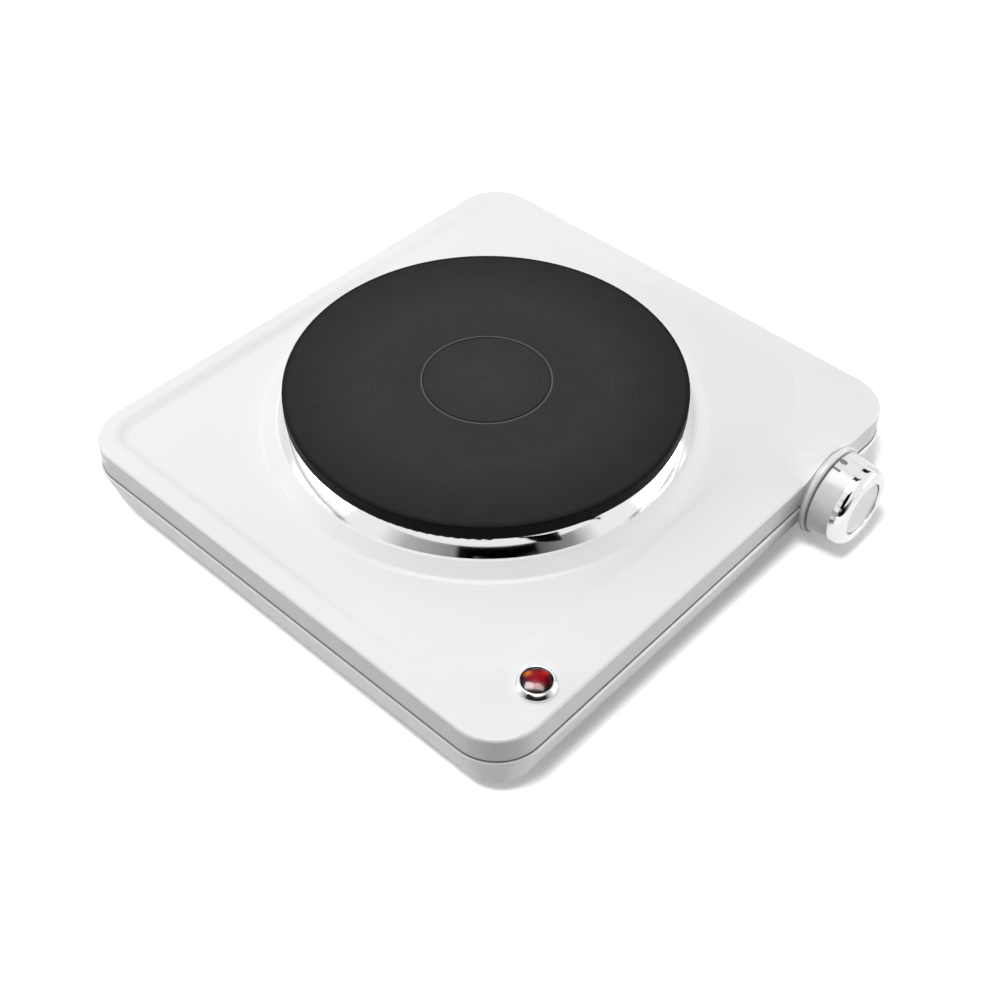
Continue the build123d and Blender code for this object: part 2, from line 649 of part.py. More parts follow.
# Sheet cover under the plate, open for the stud and for the coils' tails
tail_back = PLATE_Y - CHANNEL_RADII[-1] + INSULATOR_END
tail_front = PLATE_Y - CHANNEL_RADII[0] - INSULATOR_END
tail_middle = (tail_back + tail_front) / 2
with BuildPart() as plate_cover:
    with BuildSketch(level(PLATE_COVER_Z, 0, PLATE_Y)):
        Circle(PLATE_COVER_RADIUS)
        Circle(STUD_RADIUS + SCREW_CLEARANCE, mode=Mode.SUBTRACT)
        for radius in CHANNEL_RADII:
            with Locations((0, -radius)):
                SlotCenterToCenter(COIL_TAIL_SPACING, 2 * (TAIL_RADIUS + TAIL_CLEARANCE), mode=Mode.SUBTRACT)
    extrude(amount=PLATE_COVER_SHEET)
write_piece(plate_cover, "plate_cover")

# Ceramic insulator under that sheet, bored for the tails
with BuildPart() as plate_insulator:
    with BuildSketch(level(INSULATOR_Z, 0, tail_middle)):
        RectangleRounded(INSULATOR_WIDTH, tail_back - tail_front, INSULATOR_END / 2)
    extrude(amount=INSULATOR_HEIGHT)
    with BuildSketch(level(INSULATOR_Z, 0, PLATE_Y)):
        for radius in CHANNEL_RADII:
            with Locations((-COIL_TAIL_SPACING / 2, -radius), (COIL_TAIL_SPACING / 2, -radius)):
                Circle(TAIL_RADIUS + TAIL_CLEARANCE)
    extrude(amount=INSULATOR_HEIGHT, mode=Mode.SUBTRACT)
write_piece(plate_insulator, "plate_insulator")

# Two busbars that join the pins of one side each
with BuildPart() as plate_busbars:
    with BuildSketch(level(BUSBAR_Z, 0, tail_middle)):
        with GridLocations(COIL_TAIL_SPACING, 1, 2, 1):
            RectangleRounded(BUSBAR_WIDTH, tail_back - tail_front - INSULATOR_END, BUSBAR_WIDTH / 3)
    extrude(amount=BUSBAR_SHEET)
write_piece(plate_busbars, "plate_busbars")

# Clamp bar: a folded channel whose flat ends bear up against the tray's underside
bar_half = COLLAR_FOOT_RADIUS + BAR_BEARING
with BuildPart() as clamp_bar:
    with BuildSketch(level(TRAY_UNDER_Z - BAR_SHEET, 0, PLATE_Y)):
        RectangleRounded(2 * bar_half, BAR_WIDTH, BAR_WIDTH / 4)
        Circle(STUD_RADIUS + SCREW_CLEARANCE, mode=Mode.SUBTRACT)
    extrude(amount=BAR_SHEET)
    with BuildSketch(level(TRAY_UNDER_Z - BAR_FLANGE, 0, PLATE_Y)):
        with Locations((0, (BAR_WIDTH - BAR_SHEET) / 2), (0, (BAR_SHEET - BAR_WIDTH) / 2)):
            Rectangle(2 * (bar_half - BAR_TAB), BAR_SHEET)
    extrude(amount=BAR_FLANGE - BAR_SHEET)
write_piece(clamp_bar, "clamp_bar")

bar_under_z = TRAY_UNDER_Z - BAR_SHEET
washer_under_z = bar_under_z - WASHER_THICKNESS
with BuildPart() as clamp_washer:
    with BuildSketch(level(washer_under_z, 0, PLATE_Y)):
        Circle(WASHER_RADIUS)
        Circle(STUD_RADIUS + SCREW_CLEARANCE, mode=Mode.SUBTRACT)
    extrude(amount=WASHER_THICKNESS)
write_piece(clamp_washer, "clamp_washer")

with BuildPart() as clamp_nut:
    with BuildSketch(level(washer_under_z - NUT_HEIGHT, 0, PLATE_Y)):
        RegularPolygon(NUT_FLATS / 2, 6, major_radius=False)
        Circle(STUD_RADIUS + THREAD_CLEARANCE, mode=Mode.SUBTRACT)
    extrude(amount=NUT_HEIGHT)
write_piece(clamp_nut, "clamp_nut")

with BuildPart() as plate_stud:
    add(rod(0, PLATE_Y, PLATE_UNDER_Z - STUD_DROP, PLATE_UNDER_Z + STUD_GRIP - THREAD_CLEARANCE, STUD_RADIUS))
    chamfer(plate_stud.edges().group_by(Axis.Z)[0], STUD_RADIUS / 4)
write_piece(plate_stud, "plate_stud")

# Thermostat bracket: upright behind the front wall, foot on the pan's floor
bracket_back = -BRACKET_DEPTH - BRACKET_SHEET
with BuildPart() as thermostat_bracket:
    with BuildSketch(knob_plane(bracket_back)):
        with Locations((0, (BRACKET_RISE + PAN_FLOOR_Z - KNOB_Z) / 2)):
            Rectangle(BRACKET_WIDTH, BRACKET_RISE - PAN_FLOOR_Z + KNOB_Z)
        Circle(BUSH_RADIUS + BUSH_CLEARANCE, mode=Mode.SUBTRACT)
    extrude(amount=BRACKET_SHEET)
    with BuildSketch(level(PAN_FLOOR_Z, KNOB_X, FRONT_Y + BRACKET_DEPTH + BRACKET_FOOT / 2)):
        Rectangle(BRACKET_WIDTH, BRACKET_FOOT)
        with GridLocations(BRACKET_SCREW_SPACING, 1, 2, 1):
            Circle(TAPPED_RADIUS, mode=Mode.SUBTRACT)
    extrude(amount=BRACKET_SHEET)
write_piece(thermostat_bracket, "thermostat_bracket")

# Thermostat: ceramic body behind the bracket, threaded bush through it, nut in the collar
body_back = bracket_back - THERMOSTAT_LENGTH
with BuildPart() as thermostat_body:
    with BuildSketch(knob_plane(body_back)):
        Rectangle(THERMOSTAT_WIDTH, THERMOSTAT_HEIGHT)
    extrude(amount=THERMOSTAT_LENGTH)
    fillet(thermostat_body.edges().filter_by(Axis.Y), THERMOSTAT_EDGE)
    with BuildSketch(knob_plane(bracket_back)):
        Circle(BUSH_FLANGE_RADIUS + BUSH_CLEARANCE)
    extrude(amount=-BUSH_FLANGE, mode=Mode.SUBTRACT)
    with BuildSketch(knob_plane(bracket_back)):
        Circle(SPINDLE_RADIUS + BUSH_CLEARANCE)
    extrude(amount=-SPINDLE_TAIL - bracket_back - BUSH_CLEARANCE, mode=Mode.SUBTRACT)
write_piece(thermostat_body, "thermostat_body")

bush_front = COLLAR_RING_FRONT - BUSH_CLEARANCE
bush_points = [
    (bracket_back - BUSH_FLANGE, SPINDLE_RADIUS + SPINDLE_CLEARANCE),
    (bracket_back - BUSH_FLANGE, BUSH_FLANGE_RADIUS),
    (bracket_back, BUSH_FLANGE_RADIUS),
    (bracket_back, BUSH_RADIUS),
    (bush_front, BUSH_RADIUS),
    (bush_front, SPINDLE_RADIUS + SPINDLE_CLEARANCE),
]
with BuildPart() as thermostat_bush:
    add(turned(KNOB_SECTION, KNOB_AXIS, bush_points))
write_piece(thermostat_bush, "thermostat_bush")

with BuildPart() as thermostat_nut:
    with BuildSketch(knob_plane(NUT_SEAT)):
        RegularPolygon(THERMOSTAT_NUT_FLATS / 2, 6, major_radius=False)
        Circle(BUSH_RADIUS + THREAD_CLEARANCE, mode=Mode.SUBTRACT)
    extrude(amount=THERMOSTAT_NUT_HEIGHT)
write_piece(thermostat_nut, "thermostat_nut")

with BuildPart() as thermostat_tabs:
    with BuildSketch(knob_plane(body_back)):
        with GridLocations(TAB_SPACING, 1, 2, 1):
            Rectangle(TAB_WIDTH, TAB_THICKNESS)
    extrude(amount=-TAB_LENGTH)
write_piece(thermostat_tabs, "thermostat_tabs")

# Knob collar, clamped on the front wall by the thermostat's nut
bush_bore = BUSH_RADIUS + BUSH_CLEARANCE
dish_radius = COLLAR_RING_RADIUS - COLLAR_DISH_INSET
dish_floor = COLLAR_RING_FRONT - COLLAR_DISH_DEPTH
collar_ring_points = [
    (-BRACKET_DEPTH, bush_bore),
    (-BRACKET_DEPTH, COLLAR_HUB_RADIUS),
    (0, COLLAR_HUB_RADIUS),
    (0, COLLAR_SEAT_RADIUS),
    (COLLAR_RING_BACK, COLLAR_SEAT_RADIUS),
    (COLLAR_RING_BACK, COLLAR_RING_RADIUS),
    (COLLAR_RING_FRONT, COLLAR_RING_RADIUS),
    (COLLAR_RING_FRONT, dish_radius),
    (dish_floor, dish_radius),
    (dish_floor, NUT_RECESS_RADIUS),
    (NUT_SEAT, NUT_RECESS_RADIUS),
    (NUT_SEAT, bush_bore),
]
edge = COLLAR_RING_EDGE
with BuildPart() as knob_collar:
    add(turned(KNOB_SECTION, KNOB_AXIS, collar_ring_points, [0, 0, 0, 0, 0, edge, edge, 0, 0, 0, 0, 0]))
write_piece(knob_collar, "knob_collar")

# Knob: tapered hollow body, bright trim ring over its end and a cap sunk in the ring
knob_back = COLLAR_RING_FRONT + KNOB_GAP
trim_back = KNOB_REACH - TRIM_LENGTH
knob_front = KNOB_REACH - TRIM_LIP
spigot = TRIM_RADIUS - TRIM_WALL
cap_seat = knob_front - CAP_SEAT_DEPTH
web_back = cap_seat - KNOB_WEB
hub_back = knob_back + KNOB_WALL
spindle_end = web_back - CAP_CLEARANCE
cavity = spigot - KNOB_WALL / 2
knob_points = [
    (knob_back, KNOB_BASE_RADIUS),
    (trim_back, KNOB_NECK_RADIUS),
    (trim_back, spigot),
    (knob_front, spigot),
    (knob_front, CAP_RADIUS + CAP_CLEARANCE),
    (cap_seat, CAP_RADIUS + CAP_CLEARANCE),
    (cap_seat, 0),
    (hub_back, 0),
    (hub_back, KNOB_HUB_RADIUS),
    (web_back, KNOB_HUB_RADIUS),
    (web_back, cavity),
    (knob_back, cavity),
]
with BuildPart() as knob_body:
    add(turned(KNOB_SECTION, KNOB_AXIS, knob_points, [edge] + [0] * 11))
    with BuildSketch(knob_plane(hub_back)):
        Circle(SPINDLE_RADIUS + SPINDLE_CLEARANCE)
        with Locations((0, SPINDLE_FLAT + SPINDLE_CLEARANCE + SPINDLE_RADIUS)):
            Rectangle(2 * SPINDLE_RADIUS, 2 * SPINDLE_RADIUS, mode=Mode.SUBTRACT)
    extrude(amount=web_back - hub_back, mode=Mode.SUBTRACT)
write_piece(knob_body, "knob_body")

trim_bore = spigot + TRIM_CLEARANCE
lip_bore = CAP_RADIUS + 2 * CAP_CLEARANCE
trim_points = [
    (trim_back, TRIM_RADIUS),
    (KNOB_REACH, TRIM_RADIUS),
    (KNOB_REACH, lip_bore),
    (knob_front, lip_bore),
    (knob_front, trim_bore),
    (trim_back, trim_bore),
]
with BuildPart() as knob_trim_ring:
    add(turned(KNOB_SECTION, KNOB_AXIS, trim_points, [0, TRIM_ROUND, TRIM_LIP / 3, 0, 0, 0]))
write_piece(knob_trim_ring, "knob_trim_ring")

with BuildPart() as knob_cap:
    with BuildSketch(knob_plane(cap_seat)):
        Circle(CAP_RADIUS)
    extrude(amount=KNOB_REACH - CAP_RECESS - cap_seat)
    fillet(knob_cap.edges().group_by(Axis.Y)[0], CAP_RECESS / 2)
write_piece(knob_cap, "knob_cap")

# Thermostat spindle with its flat inside the knob's hub
with BuildPart() as thermostat_spindle:
    with BuildSketch(knob_plane(-SPINDLE_TAIL)):
        Circle(SPINDLE_RADIUS)
    extrude(amount=SPINDLE_TAIL + spindle_end)
    with BuildSketch(knob_plane(hub_back)):
        with Locations((0, SPINDLE_FLAT + SPINDLE_RADIUS)):
            Rectangle(2 * SPINDLE_RADIUS, 2 * SPINDLE_RADIUS)
    extrude(amount=spindle_end - hub_back, mode=Mode.SUBTRACT)
write_piece(thermostat_spindle, "thermostat_spindle")

# Pilot lamp: bezel, lens, body, bulb and the spring clip under the cover
sleeve_bore = LAMP_SLEEVE_RADIUS - LAMP_SLEEVE_WALL
lens_bore = LAMP_LENS_RADIUS + LAMP_FIT
bezel_points = [
    (sleeve_bore, -LAMP_SLEEVE_LENGTH),
    (LAMP_SLEEVE_RADIUS, -LAMP_SLEEVE_LENGTH),
    (LAMP_SLEEVE_RADIUS, 0),
    (LAMP_BEZEL_RADIUS, 0),
    (LAMP_BEZEL_RADIUS, LAMP_BEZEL_FOOT),
    (LAMP_LIP_RADIUS, LAMP_BEZEL_HEIGHT),
    (lens_bore, LAMP_BEZEL_HEIGHT),
    (lens_bore, LAMP_SEAT),
    (sleeve_bore, LAMP_SEAT),
]
with BuildPart() as lamp_bezel:
    rounds = [0, 0, 0, 0, LAMP_BEZEL_ROUND, LAMP_LIP_ROUND, LAMP_LIP_ROUND, 0, 0]
    add(turned(LAMP_SECTION, LAMP_AXIS, bezel_points, rounds))
write_piece(lamp_bezel, "lamp_bezel")

lens_crown = (0, LAMP_LENS_TOP)
lens_edge = (LAMP_LENS_RADIUS, LAMP_LENS_SIDE)
with BuildPart() as lamp_lens:
    with BuildSketch(LAMP_SECTION):
        with BuildLine():
            Polyline(lens_crown, (0, LAMP_SEAT), (LAMP_LENS_RADIUS, LAMP_SEAT), lens_edge)
            TangentArc(lens_crown, lens_edge, tangent=(1, 0))
        make_face()
    revolve(axis=LAMP_AXIS)
write_piece(lamp_lens, "lamp_lens")

body_radius = sleeve_bore - LAMP_FIT
with BuildPart() as lamp_body:
    add(rod(LAMP_X, LAMP_Y, RIM_Z - LAMP_BODY_LENGTH, RIM_Z + LAMP_SEAT, body_radius))
    with BuildSketch(level(RIM_Z + LAMP_SEAT, LAMP_X, LAMP_Y)):
        Circle(body_radius - LAMP_BODY_WALL)
    extrude(amount=LAMP_BODY_WALL - LAMP_BODY_LENGTH - LAMP_SEAT, mode=Mode.SUBTRACT)
write_piece(lamp_body, "lamp_body")

bulb_bottom = RIM_Z - LAMP_BODY_LENGTH + LAMP_BODY_WALL + LAMP_FIT
with BuildPart() as lamp_bulb:
    add(rod(LAMP_X, LAMP_Y, bulb_bottom, bulb_bottom + LAMP_BULB_LENGTH, LAMP_BULB_RADIUS))
    fillet(lamp_bulb.edges().group_by(Axis.Z)[-1], LAMP_BULB_CROWN)
write_piece(lamp_bulb, "lamp_bulb")

with BuildPart() as lamp_clip:
    with BuildSketch(level(RIM_Z - SHEET, LAMP_X, LAMP_Y)):
        Circle(LAMP_BEZEL_RADIUS + LAMP_CLIP_MARGIN)
        Circle(LAMP_SLEEVE_RADIUS + LAMP_FIT / 2, mode=Mode.SUBTRACT)
    extrude(amount=-LAMP_CLIP_SHEET)
write_piece(lamp_clip, "lamp_clip")

# Cord gland: a grommet in the back skirt
gland_points = [
    (-SHEET - GLAND_TAIL, GLAND_BORE),
    (-SHEET - GLAND_TAIL, GLAND_FLANGE),
    (-SHEET, GLAND_FLANGE),
    (-SHEET, GLAND_NECK),
    (0, GLAND_NECK),
    (0, GLAND_FLANGE),
    (GLAND_PROUD, GLAND_BORE + GLAND_TIP_WALL),
    (GLAND_PROUD, GLAND_BORE),
]
with BuildPart() as cord_gland:
    add(turned(GLAND_SECTION, GLAND_AXIS, gland_points))
write_piece(cord_gland, "cord_gland")

# Terminal block on the pan's floor, with a brass clamp in each pole
block_top_z = PAN_FLOOR_Z + BLOCK_HEIGHT
pole_floor_z = block_top_z - POLE_DEPTH
wire_z = pole_floor_z + CLAMP_HEIGHT / 2
wire_hole = WIRE_RADIUS + WIRE_HOLE_CLEARANCE
with BuildPart() as terminal_block:
    with BuildSketch(level(PAN_FLOOR_Z, GLAND_X, BLOCK_Y)):
        Rectangle(BLOCK_WIDTH, BLOCK_DEPTH)
    extrude(amount=BLOCK_HEIGHT)
    fillet(terminal_block.edges().filter_by(Axis.Z), BLOCK_EDGE)
    with BuildSketch(level(pole_floor_z, GLAND_X, BLOCK_Y)):
        with GridLocations(POLE_PITCH, 1, 3, 1):
            Rectangle(POLE_WIDTH, POLE_LENGTH)
    extrude(amount=POLE_DEPTH, mode=Mode.SUBTRACT)
    with BuildSketch(Plane(origin=(GLAND_X, BLOCK_Y - BLOCK_DEPTH, wire_z), x_dir=(-1, 0, 0), z_dir=(0, 1, 0))):
        with GridLocations(POLE_PITCH, 1, 3, 1):
            Circle(wire_hole)
    extrude(amount=2 * BLOCK_DEPTH, mode=Mode.SUBTRACT)
    with BuildSketch(level(PAN_FLOOR_Z, GLAND_X, BLOCK_Y)):
        with GridLocations(BLOCK_SCREW_SPACING, 1, 2, 1):
            Circle(TAPPED_RADIUS)
    extrude(amount=FIXING_REACH, mode=Mode.SUBTRACT)
write_piece(terminal_block, "terminal_block")

with BuildPart() as terminal_clamps:
    with BuildSketch(level(pole_floor_z, GLAND_X, BLOCK_Y)):
        with GridLocations(POLE_PITCH, 1, 3, 1):
            Rectangle(POLE_WIDTH - 2 * CLAMP_GAP, POLE_LENGTH - 2 * CLAMP_GAP)
    extrude(amount=CLAMP_HEIGHT)
    with BuildSketch(Plane(origin=(GLAND_X, BLOCK_Y - BLOCK_DEPTH, wire_z), x_dir=(-1, 0, 0), z_dir=(0, 1, 0))):
        with GridLocations(POLE_PITCH, 1, 3, 1):
            Circle(wire_hole)
    extrude(amount=2 * BLOCK_DEPTH, mode=Mode.SUBTRACT)
write_piece(terminal_clamps, "terminal_clamps")

# Link wires: thermostat, plate and lamp, each one run of straight legs and bends
pin_x = COIL_TAIL_SPACING / 2
front_joint_y = PLATE_Y - (CHANNEL_RADII[0] + CHANNEL_RADII[1]) / 2
back_joint_y = PLATE_Y - (CHANNEL_RADII[1] + CHANNEL_RADII[2]) / 2
tab_y = FRONT_Y - body_back + TAB_LENGTH
tab_lead_y = tab_y + WIRE_TAB_LEAD
block_lead_y = BLOCK_Y - WIRE_BLOCK_LEAD
lamp_base_z = RIM_Z - LAMP_BODY_LENGTH
floor_run_z = PAN_FLOOR_Z + 2 * WIRE_RADIUS
loop_z = BUSBAR_Z - WIRE_LOOP
live_x = GLAND_X + POLE_PITCH
neutral_x = GLAND_X - POLE_PITCH
left_tab_x = KNOB_X - TAB_SPACING / 2
right_tab_x = KNOB_X + TAB_SPACING / 2
lamp_lead = LAMP_LEAD_SPACING / 2
wire_routes = [
    [
        (live_x, BLOCK_Y, wire_z),
        (live_x, block_lead_y, wire_z),
        (right_tab_x, tab_lead_y + WIRE_RISE_RUN, floor_run_z),
        (right_tab_x, tab_lead_y, KNOB_Z),
        (right_tab_x, tab_y, KNOB_Z),
    ],
    [
        (left_tab_x, tab_y, KNOB_Z),
        (left_tab_x, tab_lead_y, KNOB_Z),
        (pin_x, back_joint_y, loop_z),
        (pin_x, back_joint_y, BUSBAR_Z),
    ],
    [
        (neutral_x, BLOCK_Y, wire_z),
        (neutral_x, block_lead_y, wire_z),
        (-pin_x, front_joint_y, floor_run_z),
        (-pin_x, front_joint_y, BUSBAR_Z),
    ],
    [
        (LAMP_X + lamp_lead, LAMP_Y, lamp_base_z),
        (LAMP_X + lamp_lead, LAMP_Y, floor_run_z),
        (pin_x, front_joint_y, floor_run_z),
        (pin_x, front_joint_y, BUSBAR_Z),
    ],
    [
        (LAMP_X - lamp_lead, LAMP_Y, lamp_base_z),
        (LAMP_X - lamp_lead, LAMP_Y, floor_run_z),
        (-pin_x, back_joint_y, floor_run_z),
        (-pin_x, back_joint_y, BUSBAR_Z),
    ],
]


def wire(points):
    """One insulated wire along a route of straight legs with rounded corners."""
    with BuildPart() as piece:
        with BuildLine() as route:
            FilletPolyline(*points, radius=WIRE_BEND)
        with BuildSketch(Plane(origin=route.line @ 0, z_dir=route.line % 0)):
            Circle(WIRE_RADIUS)
        sweep()
    return piece.part


with BuildPart() as link_wires:
    for route in wire_routes:
        add(wire(route))
write_piece(link_wires, "link_wires")
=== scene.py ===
"""Looks of the single hot plate: finishes, dial numbers, studio and camera."""

import json
import math
from types import SimpleNamespace

import bpy
from mathutils import Matrix, Vector


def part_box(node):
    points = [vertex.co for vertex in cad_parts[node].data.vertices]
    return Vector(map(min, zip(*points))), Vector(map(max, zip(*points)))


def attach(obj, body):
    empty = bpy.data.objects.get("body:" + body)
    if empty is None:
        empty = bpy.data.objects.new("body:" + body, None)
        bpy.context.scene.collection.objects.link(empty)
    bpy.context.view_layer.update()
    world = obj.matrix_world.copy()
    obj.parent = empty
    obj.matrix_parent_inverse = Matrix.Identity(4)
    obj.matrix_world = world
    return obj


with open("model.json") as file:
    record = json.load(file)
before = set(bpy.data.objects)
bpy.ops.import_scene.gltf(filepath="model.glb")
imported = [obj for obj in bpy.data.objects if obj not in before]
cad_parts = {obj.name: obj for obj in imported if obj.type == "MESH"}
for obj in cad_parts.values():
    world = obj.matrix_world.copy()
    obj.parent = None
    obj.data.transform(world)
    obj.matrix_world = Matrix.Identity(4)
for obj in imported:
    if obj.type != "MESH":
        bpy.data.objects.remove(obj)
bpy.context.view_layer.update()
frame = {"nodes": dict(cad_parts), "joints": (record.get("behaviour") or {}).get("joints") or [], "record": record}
nodes = frame["nodes"]

MM = 0.001

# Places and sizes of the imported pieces
plate_low, plate_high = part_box("heating_plate")
cover_low, cover_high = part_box("top_cover")
lens_low, lens_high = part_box("lamp_lens")
knob_back_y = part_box("knob_body")[1].y
knob_joint = frame["joints"][0]["pos_m"]
PLATE_CENTRE = ((plate_low.x + plate_high.x) / 2, (plate_low.y + plate_high.y) / 2)
PLATE_RADIUS = (plate_high.x - plate_low.x) / 2
COVER_MIDDLE = ((cover_low.x + cover_high.x) / 2, (cover_low.y + cover_high.y) / 2)
COVER_HALF = ((cover_high.x - cover_low.x) / 2, (cover_high.y - cover_low.y) / 2)
FRONT_WALL_Y = cover_low.y
SKIRT_FOOT = cover_low.z
LENS_CENTRE = ((lens_low.x + lens_high.x) / 2, (lens_low.y + lens_high.y) / 2)
LENS_RADIUS = (lens_high.x - lens_low.x) / 2
KNOB_CENTRE = (knob_joint[0], knob_joint[2])
KNOB_BASE_DEPTH = FRONT_WALL_Y - knob_back_y

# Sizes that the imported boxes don't give
COVER_CORNER = 22.0 * MM
SEAM_WIDTH = 0.3 * MM
NECK_DROP = 1.4 * MM
TURNING_PITCH = 1.4 * MM
KNOB_BASE_RADIUS = 20.7 * MM
KNOB_TAPER = 1 / 10.5


def grey(value):
    """A neutral colour."""
    return (value, value, value, 1.0)


def add_node(tree, kind, place, **settings):
    """A shader node with its settings, at a place on the node sheet."""
    node = tree.nodes.new(kind)
    node.location = place
    for name, value in settings.items():
        setattr(node, name, value)
    return node


def math_node(tree, place, operation, first, second=None, third=None):
    """A maths node fed by sockets or plain numbers; returns its output."""
    node = add_node(tree, "ShaderNodeMath", place, operation=operation)
    for index, value in enumerate((first, second, third)):
        if value is None:
            continue
        if isinstance(value, (int, float)):
            node.inputs[index].default_value = value
        else:
            tree.links.new(value, node.inputs[index])
    return node.outputs[0]


def rescale(tree, place, value, span, levels=(0.0, 1.0), blend="LINEAR"):
    """A value carried from one span of numbers to another; returns the output."""
    node = add_node(tree, "ShaderNodeMapRange", place, interpolation_type=blend)
    for socket, number in zip(("From Min", "From Max", "To Min", "To Max"), (*span, *levels)):
        node.inputs[socket].default_value = number
    tree.links.new(value, node.inputs["Value"])
    return node.outputs["Result"]


def split_place(tree, place):
    """The three coordinates of the shaded point, in metres."""
    coordinates = add_node(tree, "ShaderNodeTexCoord", place)
    split = add_node(tree, "ShaderNodeSeparateXYZ", (place[0] + 180, place[1]))
    tree.links.new(coordinates.outputs["Object"], split.inputs[0])
    return split.outputs


def group_socket(tree, name, way, kind, value=None):
    """A named socket on a node group."""
    socket = tree.interface.new_socket(name=name, in_out=way, socket_type=kind)
    if value is not None:
        socket.default_value = value


def make_finish_group():
    """Uneven colour and gloss with a fine skin: the small unevenness of any made surface."""
    fine_per_broad = 14.0
    tree = bpy.data.node_groups.new("uneven_finish", "ShaderNodeTree")
    group_socket(tree, "Colour", "INPUT", "NodeSocketColor", grey(0.8))
    group_socket(tree, "Roughness", "INPUT", "NodeSocketFloat", 0.4)
    group_socket(tree, "Scale", "INPUT", "NodeSocketFloat", 60.0)
    group_socket(tree, "Colour Spread", "INPUT", "NodeSocketFloat", 0.02)
    group_socket(tree, "Gloss Spread", "INPUT", "NodeSocketFloat", 0.1)
    group_socket(tree, "Colour", "OUTPUT", "NodeSocketColor")
    group_socket(tree, "Roughness", "OUTPUT", "NodeSocketFloat")
    group_socket(tree, "Height", "OUTPUT", "NodeSocketFloat")
    inlet = add_node(tree, "NodeGroupInput", (-900, 0))
    outlet = add_node(tree, "NodeGroupOutput", (700, 0))
    place = add_node(tree, "ShaderNodeTexCoord", (-900, 300))
    broad = add_node(tree, "ShaderNodeTexNoise", (-600, 300))
    broad.inputs["Detail"].default_value = 3.0
    fine = add_node(tree, "ShaderNodeTexNoise", (-600, -300))
    fine.inputs["Detail"].default_value = 2.0
    tree.links.new(place.outputs["Object"], broad.inputs["Vector"])
    tree.links.new(place.outputs["Object"], fine.inputs["Vector"])
    tree.links.new(inlet.outputs["Scale"], broad.inputs["Scale"])
    fine_scale = math_node(tree, (-750, -300), "MULTIPLY", inlet.outputs["Scale"], fine_per_broad)
    tree.links.new(fine_scale, fine.inputs["Scale"])
    swing = math_node(tree, (-400, 300), "SUBTRACT", broad.outputs["Fac"], 0.5)
    tint = math_node(tree, (-220, 300), "MULTIPLY_ADD", swing, inlet.outputs["Colour Spread"], 1.0)
    shade = add_node(tree, "ShaderNodeVectorMath", (0, 300), operation="SCALE")
    tree.links.new(inlet.outputs["Colour"], shade.inputs[0])
    tree.links.new(tint, shade.inputs["Scale"])
    gloss_swing = math_node(tree, (-400, 0), "SUBTRACT", fine.outputs["Fac"], 0.5)
    gloss = math_node(tree, (-220, 0), "MULTIPLY_ADD", gloss_swing, inlet.outputs["Gloss Spread"], 1.0)
    roughness = math_node(tree, (0, 0), "MULTIPLY", inlet.outputs["Roughness"], gloss)
    tree.links.new(shade.outputs[0], outlet.inputs["Colour"])
    tree.links.new(roughness, outlet.inputs["Roughness"])
    tree.links.new(fine.outputs["Fac"], outlet.inputs["Height"])
    return tree


FINISH = make_finish_group()


def make_material(name, colour, roughness, scale=60.0, colour_spread=0.03, gloss_spread=0.2,
                  skin=0.02, **sockets):
    """A material with the uneven finish; returns it with its tree, shader, finish and skin nodes."""
    skin_depth = 0.02 * MM
    material = bpy.data.materials.new(name)
    material.use_nodes = True
    tree = material.node_tree
    shader = tree.nodes["Principled BSDF"]
    finish = add_node(tree, "ShaderNodeGroup", (-500, 0), node_tree=FINISH)
    finish.inputs["Colour"].default_value = colour
    finish.inputs["Roughness"].default_value = roughness
    finish.inputs["Scale"].default_value = scale
    finish.inputs["Colour Spread"].default_value = colour_spread
    finish.inputs["Gloss Spread"].default_value = gloss_spread
    bump = add_node(tree, "ShaderNodeBump", (-250, -250))
    bump.inputs["Strength"].default_value = skin
    bump.inputs["Distance"].default_value = skin_depth
    tree.links.new(finish.outputs["Colour"], shader.inputs["Base Color"])
    tree.links.new(finish.outputs["Roughness"], shader.inputs["Roughness"])
    tree.links.new(finish.outputs["Height"], bump.inputs["Height"])
    tree.links.new(bump.outputs["Normal"], shader.inputs["Normal"])
    for socket, value in sockets.items():
        shader.inputs[socket.replace("_", " ")].default_value = value
    return SimpleNamespace(material=material, tree=tree, shader=shader, finish=finish, skin=bump)


def distance_from(tree, place, centre):
    """Distance of the shaded point from an upright axis, in metres."""
    split = split_place(tree, place)
    squares = []
    for axis, middle, drop in (("X", centre[0], 80), ("Y", centre[1], -80)):
        side = math_node(tree, (place[0] + 360, place[1] + drop), "SUBTRACT", split[axis], middle)
        squares.append(math_node(tree, (place[0] + 540, place[1] + drop), "POWER", side, 2.0))
    total = math_node(tree, (place[0] + 720, place[1]), "ADD", squares[0], squares[1])
    return math_node(tree, (place[0] + 900, place[1]), "SQRT", total)


def beyond_cover(tree, place):
    """Distance of the shaded point beyond the cover's outline in plan, less than nothing inside it."""
    split = split_place(tree, place)
    squares = []
    for axis, middle, half, drop in zip("XY", COVER_MIDDLE, COVER_HALF, (0, -160)):
        left, level = place[0] + 360, place[1] + drop
        side = math_node(tree, (left, level), "SUBTRACT", split[axis], middle)
        side = math_node(tree, (left + 160, level), "ABSOLUTE", side)
        side = math_node(tree, (left + 320, level), "SUBTRACT", side, half - COVER_CORNER)
        side = math_node(tree, (left + 480, level), "MAXIMUM", side, 0.0)
        squares.append(math_node(tree, (left + 640, level), "POWER", side, 2.0))
    total = math_node(tree, (place[0] + 1180, place[1]), "ADD", squares[0], squares[1])
    reach = math_node(tree, (place[0] + 1340, place[1]), "SQRT", total)
    return math_node(tree, (place[0] + 1500, place[1]), "SUBTRACT", reach, COVER_CORNER)


